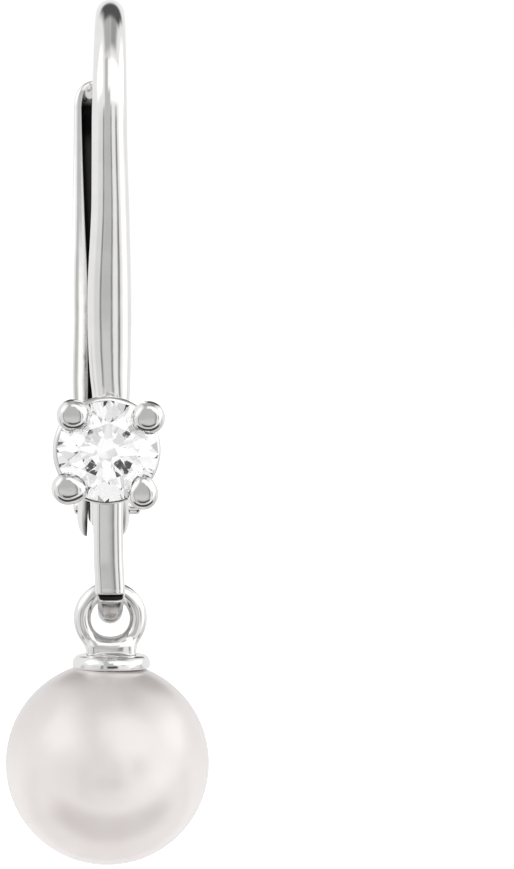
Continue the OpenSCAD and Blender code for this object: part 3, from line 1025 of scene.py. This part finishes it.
def lever_line(share):
    """Place of the lever's middle line, bowed to the back between its tip and the hinge."""
    tip = Vector((0, ARCH_R + LEVER_TIP_BACK, LEVER_TIP_Z))
    bow = Vector((0, ARCH_R + LEVER_BOW_BACK, HINGE_Z + LEVER_BOW_UP))
    end = Vector((0, HINGE_Y, HINGE_Z))
    return (1 - share) ** 2 * tip + 2 * share * (1 - share) * bow + share ** 2 * end


def lever_rows():
    """Rows of the lever with those of its rounded tip before them."""
    _, width, thickness, groove, depth, x = LEVER[0]
    tip = [(share, wide * width, thick * thickness, wide * groove, deep * depth, x)
           for share, wide, thick, deep in LEVER_TIP]
    return tip + LEVER


def lever_sweep(metal):
    share, width, thick, groove, depth, x = zip(*lever_rows())
    path = {
        "points": [tuple(lever_line(s) + Vector((side, 0, 0))) for s, side in zip(share, x)],
        "fields": {
            "side": [(1, 0, 0)] * len(x),
            "half_width": [w / 2 for w in width],
            "half_depth": [t / 2 for t in thick],
            "groove_half": groove,
            "groove_depth": depth,
        },
    }
    sizes = {"Steps": 6, "Sides": LEVER_SIDES, "Crown": LEVER_CROWN}
    return swept("lever_sweep", [path], sizes, channel_section, metal)


def lever_body(metal):
    """The swept lever, with two domed ears round the hinge and a slot between them for the lug."""
    sweep = body_of("lever_sweep", lever_sweep(metal))
    hinge = hinge_place()
    slot_half = SLOT_W / 2
    inner = slot_half - EAR_EDGE
    dome = [(EAR_R * r, inner + (EARS_W / 2 - inner) * math.sqrt(1 - r ** EAR_POWER)) for r in EAR_SHARES]
    disc = [(r, -half) for r, half in dome] + [(r, half) for r, half in reversed(dome)]
    ears = body_of("ears", lathe(disc, 64, hinge))
    slot = body_of("slot", rod(SLOT_R, slot_half, 64, hinge))
    front = box_outline(HINGE_Y - CUT_REACH, HINGE_Z - CUT_REACH, HINGE_Y, HINGE_Z + SLOT_R)
    below = box_outline(HINGE_Y - CUT_LAP, HINGE_Z - CUT_REACH, HINGE_Y + CUT_REACH, HINGE_Z)
    cuts = [slot] + [body_of("cut", plate(box, SLOT_W, HINGE_X)) for box in (front, below)]
    cuts.append(body_of("bore", rod(PIN_D / 2, CUT_REACH, 48, hinge)))
    mesh = carved(sweep, [("UNION", ears)] + [("DIFFERENCE", cut) for cut in cuts])
    # Painted shade in the slot
    paint_slot_shade(mesh)
    return finished("lever_body", mesh, metal, sharp=40)


def paint_slot_shade(mesh):
    """Puts painted shade on the inner edges of the ears and the walls of the slot, a painted shadow in the
    recess round the lug.
    """
    x, y, z = places_of(mesh).T
    off = np.abs(x - HINGE_X) - SLOT_W / 2
    painted_dark = np.clip(1 - (off - EAR_EDGE) / SLOT_SHADE_FADE, 0, 1)
    near = np.hypot(y - HINGE_Y, z - HINGE_Z) < SLOT_SHADE_REACH
    shade = mesh.attributes["shade"].data
    values = np.empty(len(mesh.vertices))
    shade.foreach_get("value", values)
    shade.foreach_set("value", np.where(near, painted_dark, values))


def hinge_pin(metal):
    """Rivet with heads that are peened a little round."""
    head = flowing([(r, PIN_LEN / 2 - down) for r, down in PIN_HEAD], 4)
    outline = [(r, -up) for r, up in head] + [(r, up) for r, up in reversed(head)]
    return finished("hinge_pin", lathe(outline, 48, hinge_place(PIN_X)), metal)


# The drop


def ring_depth(places):
    """Distance of places from the surface of the ring where it melts into the neck on the cap."""
    x, y, z = (places - np.array((RING_X, LOOP_Y, RING_Z))).T
    ring = np.sqrt((np.sqrt(x * x + z * z) - RING_R) ** 2 + y * y) - RING_WIRE_D / 2
    local = np.abs(places - NECK_MIDDLE) / NECK_SIZE
    last = NECK_POWER - 1
    near = (local ** NECK_POWER).sum(axis=1) ** (1 / NECK_POWER) + 1e-6
    slope = np.linalg.norm(local ** last / NECK_SIZE, axis=1) / near ** last
    neck = (near - 1) / np.maximum(slope, 1e-3)
    meet = np.maximum(NECK_FILLET - np.abs(ring - neck), 0) / NECK_FILLET
    return np.minimum(ring, neck) - meet ** 2 * NECK_FILLET / 4


def ring_blank():
    """The plain ring and the neck's squared ball, still two shells."""
    shape = bmesh.new()
    count, sides = 72, 24
    wire_r = RING_WIRE_D / 2
    grid = []
    for a in round_angles(count):
        for b in round_angles(sides):
            r = RING_R + wire_r * math.cos(b)
            place = (RING_X + r * math.cos(a), LOOP_Y + wire_r * math.sin(b), RING_Z + r * math.sin(a))
            grid.append(shape.verts.new(place))
    for i in range(count):
        for k in range(sides):
            here, there = i * sides, (i + 1) % count * sides
            n = (k + 1) % sides
            shape.faces.new((grid[here + k], grid[there + k], grid[there + n], grid[here + n]))
    neck = bmesh.ops.create_uvsphere(shape, u_segments=48, v_segments=24, radius=1.0)["verts"]
    for point in neck:
        out = np.array(point.co)
        point.co = NECK_MIDDLE + out / (out ** NECK_POWER).sum() ** (1 / NECK_POWER) * NECK_SIZE
    bmesh.ops.recalc_face_normals(shape, faces=shape.faces)
    return as_mesh("ring", shape)


def drop_ring(metal):
    """The ring with the neck that it is soldered on, drawn onto one smooth skin."""
    thing = new_object("ring", ring_blank())
    melt = thing.modifiers.new("Melt", "REMESH")
    melt.mode = "VOXEL"
    melt.voxel_size = RING_VOXEL
    mesh = evaluated_mesh(thing)
    bpy.data.objects.remove(thing)
    drawn_onto(mesh, ring_depth)
    return finished("drop_ring", mesh, metal)


def drop_cap(metal):
    """Turned cap with a rounded rim, a recess round the ring's foot, and the peg below it."""
    def under(radius):
        return PEARL_Z + math.sqrt((PEARL_R + GAP) ** 2 - radius ** 2) - CAP_TOP

    peg_end = PEARL_Z + PEARL_R - PEG_LEN - CAP_TOP
    outline = [(0, peg_end), (PEG_R - PEG_EASE, peg_end), (PEG_R, peg_end + PEG_EASE), (PEG_R, under(PEG_R))]
    outline += [(r, under(r)) for r in CAP_UNDER]
    outline += flowing([(CAP_EDGE_R, under(CAP_EDGE_R) + CAP_EDGE_UP)] + CAP_RIM)
    outline += [(PEG_R, CAP_RECESS), (0, CAP_RECESS)]
    place = Matrix.Translation((CAP_X, LOOP_Y, CAP_TOP))
    return finished("drop_cap", lathe(outline, 96, place), metal, sharp=50)


def pearl(material):
    """The pearl, drilled from the top for the peg, with an eased lip on the hole."""
    hole = PEG_R + GAP
    edge = math.asin(hole / PEARL_R)
    start = edge + LIP_ANGLE
    depth = PEARL_R - PEG_LEN - GAP
    outline = [(0, depth), (hole, depth), (hole, PEARL_R * math.cos(edge) - LIP_DEPTH)]
    count = 90
    outline += [(PEARL_R * math.sin(a), PEARL_R * math.cos(a))
                for a in (start + (math.pi - start) * i / count for i in range(count))]
    outline.append((0, -PEARL_R))
    place = Matrix.Translation((PEARL_X, LOOP_Y, PEARL_Z))
    return finished("pearl", lathe(outline, 128, place), material, sharp=50)


# The studio


def studio():
    """White room with grey and dark cards, seen only in reflections and light, and white to the camera. The
    greys are lighter through the stone than in the metal."""
    world = bpy.data.worlds.new("studio")
    bpy.context.scene.world = world
    world.use_nodes = True
    world.node_tree.nodes.clear()
    tree = Tree(world.node_tree)
    way = tree.add("ShaderNodeSeparateXYZ", None, {0: tree.add("ShaderNodeTexCoord", output="Generated")})
    pitch = tree.maths("ARCTAN2", way["Z"], 0 - way["Y"]) * (180 / math.pi)
    side = tree.maths("ARCSINE", way["X"]) * (180 / math.pi)
    light = ROOM_WHITE
    for low, high, left, right, soft_pitch, soft_side, glow in CARDS:
        mask = tree.band(pitch, low, high, soft_pitch) * tree.band(side, left, right, soft_side)
        light = mask * (glow - light) + light
    capped = tree.smaller(light, 1)
    through = tree.add("ShaderNodeLightPath", output="Is Transmission Ray")
    light = light + through * capped * (1 - capped) * (2 - capped)
    seen = tree.add("ShaderNodeLightPath", output="Is Camera Ray")
    cards = tree.add("ShaderNodeBackground", None, {"Color": (1, 1, 1, 1), "Strength": light})
    plain = tree.add("ShaderNodeBackground", None, {"Color": (1, 1, 1, 1), "Strength": 1.0})
    both = tree.add("ShaderNodeMixShader", None, {0: seen, 1: cards, 2: plain})
    tree.add("ShaderNodeOutputWorld", None, {"Surface": both})


def floor():
    """Wide pale floor under the hanging earring."""
    shape = bmesh.new()
    place = Matrix.Translation((0, 0, FLOOR_Z))
    bmesh.ops.create_circle(shape, cap_ends=True, segments=96, radius=FLOOR_R, matrix=place)
    mesh = as_mesh("floor", shape)
    material, tree = new_material("pale_floor")
    grain = tree.noise(object_place(tree), 0.05, 2.0)
    surface(tree, {
        "Base Color": tree.blend(grain, (0.93, 0.93, 0.93, 1), (0.96, 0.96, 0.96, 1)),
        "Roughness": 0.9, "Emission Color": (1, 1, 1, 1), "Emission Strength": 0.6,
    })
    mesh.materials.append(material)
    thing = new_object("floor", mesh)
    thing.visible_glossy = False


def camera():
    """Long lens in front of the bar, a little to its left."""
    place = Vector((-math.sin(CAMERA_TURN), -math.cos(CAMERA_TURN), 0)) * CAMERA_BACK
    place += Vector((0, BAR_Y, CAMERA_Z))
    turn = CAMERA_TURN + CAMERA_YAW
    sight = Vector((math.sin(turn), math.cos(turn), -math.tan(CAMERA_DIP)))
    data = bpy.data.cameras.new("camera")
    data.sensor_fit = "HORIZONTAL"
    data.sensor_width = SENSOR
    data.lens = LENS
    data.clip_start = 0.001
    data.clip_end = 10.0
    thing = new_object("camera", data)
    thing.matrix_world = Matrix.Translation(place * MM) @ sight.to_track_quat("-Z", "Y").to_matrix().to_4x4()
    bpy.context.scene.camera = thing


def dress(piece, body, slot, *nodes):
    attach(piece, body)
    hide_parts(*nodes)


def build():
    camera()
    studio()
    floor()
    bpy.context.scene.view_settings.view_transform = "Standard"
    gold = white_gold()
    for make in (ear_wire_body, hinge_lug, claws, setting_rings, setting_foot):
        dress(make(gold), "front", "white_gold", "ear_wire")
    dress(brilliant(diamond()), "front", "diamond", "stone")
    dress(lever_body(gold), "lever", "white_gold", "lever")
    dress(hinge_pin(gold), "lever", "white_gold", "hinge_pin")
    for make in (drop_ring, drop_cap):
        dress(make(gold), "drop", "white_gold", "drop_cap")
    dress(pearl(nacre()), "drop", "pearl", "pearl")


build()
